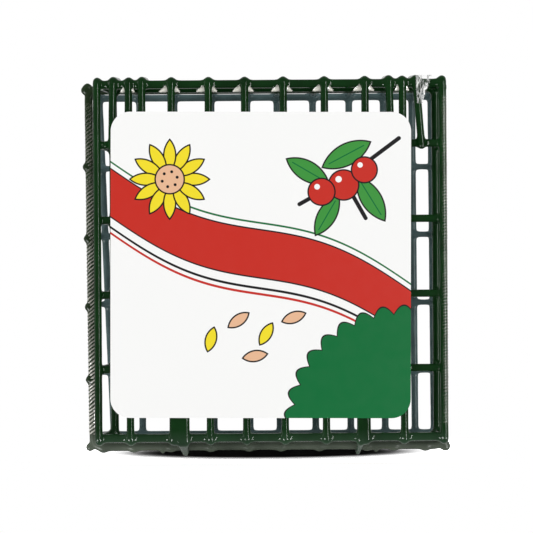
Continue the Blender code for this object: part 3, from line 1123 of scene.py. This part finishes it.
def web_material():
    """White shine of a small film web: grey beside the wire, bright further out, gone at the tip."""
    made, shader, place = new_material("film_web_shine")
    out, down = uv_of(place, FILM_UV)
    fade = (out * -WEB_FADE + WEB_FADE_START).least(1.0).most(0.0)
    band = tent(down, *WEB_BAND).most(0.0)
    fill(shader, {
        "Alpha": (fade * band * speckle(place, *WEB_SPARKLE) * WEB_STRENGTH).least(WEB_SOLID),
        "Base Color": mixed((out * WEB_WHITENING + WEB_GREY_START).least(1.0), WEB_GREY, WEB_WHITE),
        "Roughness": WEB_ROUGHNESS,
        "IOR": FILM_IOR,
    })
    return made


def web_patches():
    """A web under the top rod on each side of the inner uprights, narrowing to a tip."""
    patches = []
    y = DOOR_FACE_Y - WEB_FRONT
    top, foot = DOOR_TOP_Z + WEB_TOP, DOOR_TOP_Z - WEB_FOOT
    uprights = numbered("door_upright")[1:-1]
    for node in uprights:
        x = middle(node, X)
        share = NARROW_WEB if node in (uprights[0], uprights[-1]) else 1.0
        for side, reach in zip((-1, 1), WEB_REACHES):
            edge, tip = x + side * (WIRE_R - WEB_IN), x + side * (WIRE_R + share * reach)
            near = ((edge, y, top), (edge, y, foot))
            far = ((tip, y, foot + WEB_TIP), (tip, y, foot))
            patches.append((near, far, WEB_FRONT / 2))
    return patches


# Crumpled film in the door's upper right corner: two edges, as places along X and heights in millimetres
CORNER_EDGES = (((54.4, 141.4), (55.0, 131.2)), ((60.6, 141.4), (57.0, 131.2)))
CORNER_FRONT = 0.2 * MM
# Its creases: the noise's scale and how sharp they are
CREASES = ((520, 12.0), (800, 14.0))
CREASE_DEGREES = 25
CREASE_STRETCH_SHARE = 0.3
CREASE_EDGE = (0.5, 8.0, 4.0)  # the middle across the film, how fast it fades to both sides, and from what
CREASE_SOLID, CREASE_VEIL = 0.95, 0.04  # how solid a crease is, and the film between the creases
CREASE_ROUGHNESS = 0.25
CREASE_GREY, CREASE_WHITE = (0.45, 0.46, 0.45), (0.86, 0.86, 0.84)


def corner_patch():
    y = DOOR_FACE_Y - WIRE_R - CORNER_FRONT
    first, second = ([(x * MM, y, z * MM) for x, z in edge] for edge in CORNER_EDGES)
    return [(first, second, -CORNER_FRONT)]


def crumpled_material():
    """Clear film whose creases show as white lines: 1 - sharpness |noise - 0.5|, of two noises."""
    made, shader, place = new_material("crumpled_film")
    drawn = place.id_data.nodes.new("ShaderNodeMapping")
    drawn.inputs["Rotation"].default_value = (0, math.radians(CREASE_DEGREES), 0)
    drawn.inputs["Scale"].default_value = (1, 1, CREASE_STRETCH_SHARE)
    place.id_data.links.new(place, drawn.inputs["Vector"])
    first, second = (
        tent(noise(drawn.outputs["Vector"], scale, detail=1), 0.5, sharpness, 1.0).most(0.0)
        for scale, sharpness in CREASES
    )
    edge = tent(uv_of(place, FILM_UV)[0], *CREASE_EDGE).least(1.0)
    fill(shader, {
        "Alpha": (first.most(second) * edge * CREASE_SOLID + CREASE_VEIL).least(FILM_SOLID),
        "Base Color": mixed(first, CREASE_GREY, CREASE_WHITE),
        "Roughness": CREASE_ROUGHNESS,
        "IOR": FILM_IOR,
    })
    return made


# Stage

WORLD_LIGHT = 0.94
# Lights: name, place, size, power, and whether it lights colours as well as gloss. All aim at the feeder
LIGHTS = (
    ("key_softbox", (-0.50, -0.80, 0.80), (0.6, 0.6), 1.6, True),
    ("gloss_strip", (0.50, -0.70, 0.12), (0.14, 1.0), 42.0, False),
    ("gloss_edge_strip", (-0.80, -0.10, 0.12), (0.10, 1.0), 3.0, False),
    ("gloss_low_left", (-0.50, -0.50, -0.42), (0.30, 0.30), 34.0, False),
    ("gloss_low_right", (0.55, -0.45, -0.42), (0.22, 0.22), 24.0, False),
)
# The floor that takes the real shadow, and a dark sheet on it that is a painted contact shadow: colour, half
# sizes, middle along Y, height, and the shares of the half sizes up to which it is solid and at which it is
# gone
SHADOW = ((0.9, 0.9, 0.9), 0.088, 0.028, 0.009, 0, 0.45, 1.0)
PAINTED_CONTACT_SHADOW = ((0.008, 0.008, 0.008), 0.062, 0.0145, 0.006, 0.1 * MM, 0.55, 1.0)


def light(name, place, size, power, lights_colours, target):
    """A rectangular lamp aimed at a target."""
    lamp = bpy.data.lights.new(name, "AREA")
    lamp.shape = "RECTANGLE"
    lamp.size, lamp.size_y = size
    lamp.energy = power
    obj = linked(name, lamp)
    obj.location = place
    obj.rotation_mode = "QUATERNION"
    obj.rotation_quaternion = (Vector(target) - Vector(place)).to_track_quat("-Z", "Y")
    obj.visible_diffuse = lights_colours


def white_world():
    """White for what the camera sees, directly or mirrored, and a plain level for what lights the object."""
    world = bpy.data.worlds.new("white_room")
    world.use_nodes = True
    nodes = world.node_tree.nodes
    rays = nodes.new("ShaderNodeLightPath").outputs
    seen = Ink(rays["Is Camera Ray"]).most(Ink(rays["Is Glossy Ray"])).most(Ink(rays["Is Transmission Ray"]))
    fill(nodes["Background"], {"Color": (1, 1, 1), "Strength": ranged(seen, 0, 1, WORLD_LIGHT, 1)})
    bpy.context.scene.world = world


def stage_sheet(name, material_name, colour, half_x, half_y, centre_y, z, full, none):
    """A flat rectangle of the stage that is solid near its middle and fades out."""
    made, shader, place = new_material(material_name)
    x, y, _ = split(place)
    distance = (x * (1 / half_x)).length((y - centre_y) * (1 / half_y))
    fill(shader, {
        "Base Color": colour,
        "Roughness": 1.0,
        "Specular IOR Level": 0.0,
        "Alpha": ranged(distance, full, none, 1, 0, kind="SMOOTHSTEP"),
    })
    signs = ((-1, -1), (1, -1), (1, 1), (-1, 1))
    corners = [(sx * half_x, centre_y + sy * half_y, z) for sx, sy in signs]
    sheet = new_piece(name, corners, [(0, 1, 2, 3)], made)
    return sheet


def make_camera():
    """The photograph's camera, level in front of the door and rolled a little."""
    camera = bpy.data.cameras.new("camera")
    camera.sensor_width = SENSOR_MM
    camera.lens = SENSOR_MM * PIXELS_PER_MM * CAMERA_DISTANCE / MM / PHOTO_SIDE
    obj = linked("camera", camera)
    place = Matrix.Translation((0, DOOR_FACE_Y - CAMERA_DISTANCE, CAMERA_Z))
    level = Matrix.Rotation(math.radians(90), 4, "X")
    obj.matrix_world = place @ level @ Matrix.Rotation(math.radians(CAMERA_ROLL_DEGREES), 4, "Z")
    bpy.context.scene.camera = obj


# Operators


class FEEDER_OT_back_half(bpy.types.Operator):
    """Coats the back half's wires"""

    bl_idname = "feeder.back_half"
    bl_label = "Back half's coating"

    def execute(self, context):
        feeder = context.scene.feeder
        material = coating_material(
            "dull_green_coating", feeder.rim_colour, feeder.painted_haze_colour, RIM_FOOT_LIT_COLOUR, BACK_GLOSS,
        )
        for piece in coated("back_half_coating", back_wires, "back_crosswire", material):
            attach(piece, "back_half")
            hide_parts(*BACK_NODES)
        return {"FINISHED"}


class FEEDER_OT_door(bpy.types.Operator):
    """Coats the door's wires, hooks and fingers"""

    bl_idname = "feeder.door"
    bl_label = "Door's coating"

    def execute(self, context):
        colour = context.scene.feeder.coating_colour
        material = coating_material("gloss_green_coating", colour, colour, DOOR_FOOT_LIT_COLOUR, DOOR_GLOSS)
        for piece in coated("door_coating", door_wires, "door_crosswire", material):
            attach(piece, "door")
            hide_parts(*DOOR_NODES)
        return {"FINISHED"}


class FEEDER_OT_card(bpy.types.Operator):
    """Makes the printed card on the door"""

    bl_idname = "feeder.card"
    bl_label = "Printed card"

    def execute(self, context):
        card = make_card(context.scene.feeder.card_bow)
        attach(card, "door")
        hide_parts("label_card")
        return {"FINISHED"}


class FEEDER_OT_film(bpy.types.Operator):
    """Puts on what is left of the clear shrink film: left rim, right edge and top rod"""

    bl_idname = "feeder.film"
    bl_label = "Shrink film"

    def execute(self, context):
        left_top, left_bottom, _ = rim_sides("back_rim", BACK_RIM_OFF)
        lean = (left_top - left_bottom) / (BACK_TOP_Z - BACK_BOTTOM_Z)
        foot = (left_bottom + lean * FILM_END, BACK_RIM_Y, BACK_BOTTOM_Z + FILM_END)
        head = (left_top - lean * FILM_END, BACK_RIM_Y, BACK_TOP_Z - FILM_END)
        pleats = film_material("film_left_pleats", PLEAT_PITCH, **LEFT_PLEATS)
        film_left = film_sleeve("left_rim_film", foot, head, ROD_R, PLEAT_PITCH, pleats)
        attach(film_left, "back_half")
        x = middle("door_upright_10", X)
        foot = (x, DOOR_FACE_Y, DOOR_BOTTOM_Z + FILM_END)
        head = (x, DOOR_FACE_Y, DOOR_TOP_Z - FILM_END)
        ladder = film_material("film_right_ladder", LADDER_PITCH, **RIGHT_LADDER)
        film_right = film_sleeve("right_edge_film", foot, head, WIRE_R, LADDER_PITCH, ladder)
        webs = film_sheets("top_film_webs", web_patches(), web_material())
        crumple = film_sheets("corner_film", corner_patch(), crumpled_material())
        for piece in (film_right, webs, crumple):
            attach(piece, "door")
        return {"FINISHED"}


class FEEDER_OT_stage(bpy.types.Operator):
    """Sets the floor, the lights, the white surroundings and the camera"""

    bl_idname = "feeder.stage"
    bl_label = "Stage"

    def execute(self, context):
        stage_sheet("floor", "pale_floor", *SHADOW).is_shadow_catcher = True
        # A dark sheet just above the floor, under the back half: a painted contact shadow
        stage_sheet("contact", "contact_shade", *PAINTED_CONTACT_SHADOW).visible_shadow = False
        white_world()
        target = (0, 0, middle("back_rim", Z))
        for lamp in LIGHTS:
            light(*lamp, target)
        make_camera()
        context.scene.view_settings.view_transform = "Standard"
        return {"FINISHED"}


class FEEDER_PT_panel(bpy.types.Panel):
    """Shows the feeder's settings and the buttons that make its pieces"""

    bl_idname = "FEEDER_PT_panel"
    bl_label = "Suet feeder"
    bl_space_type = "VIEW_3D"
    bl_region_type = "UI"
    bl_category = "Feeder"

    def draw(self, context):
        for name in FeederProperties.__annotations__:
            self.layout.prop(context.scene.feeder, name)
        for operator in OPERATORS:
            self.layout.operator(operator.bl_idname)


OPERATORS = (FEEDER_OT_back_half, FEEDER_OT_door, FEEDER_OT_card, FEEDER_OT_film, FEEDER_OT_stage)
CLASSES = (FeederProperties, *OPERATORS, FEEDER_PT_panel)


def register():
    for kind in CLASSES:
        bpy.utils.register_class(kind)
    bpy.types.Scene.feeder = bpy.props.PointerProperty(type=FeederProperties)


def unregister():
    del bpy.types.Scene.feeder
    for kind in reversed(CLASSES):
        bpy.utils.unregister_class(kind)


def main():
    register()
    bpy.ops.feeder.back_half()
    bpy.ops.feeder.door()
    bpy.ops.feeder.card()
    bpy.ops.feeder.film()
    bpy.ops.feeder.stage()


if __name__ == "__main__":
    main()
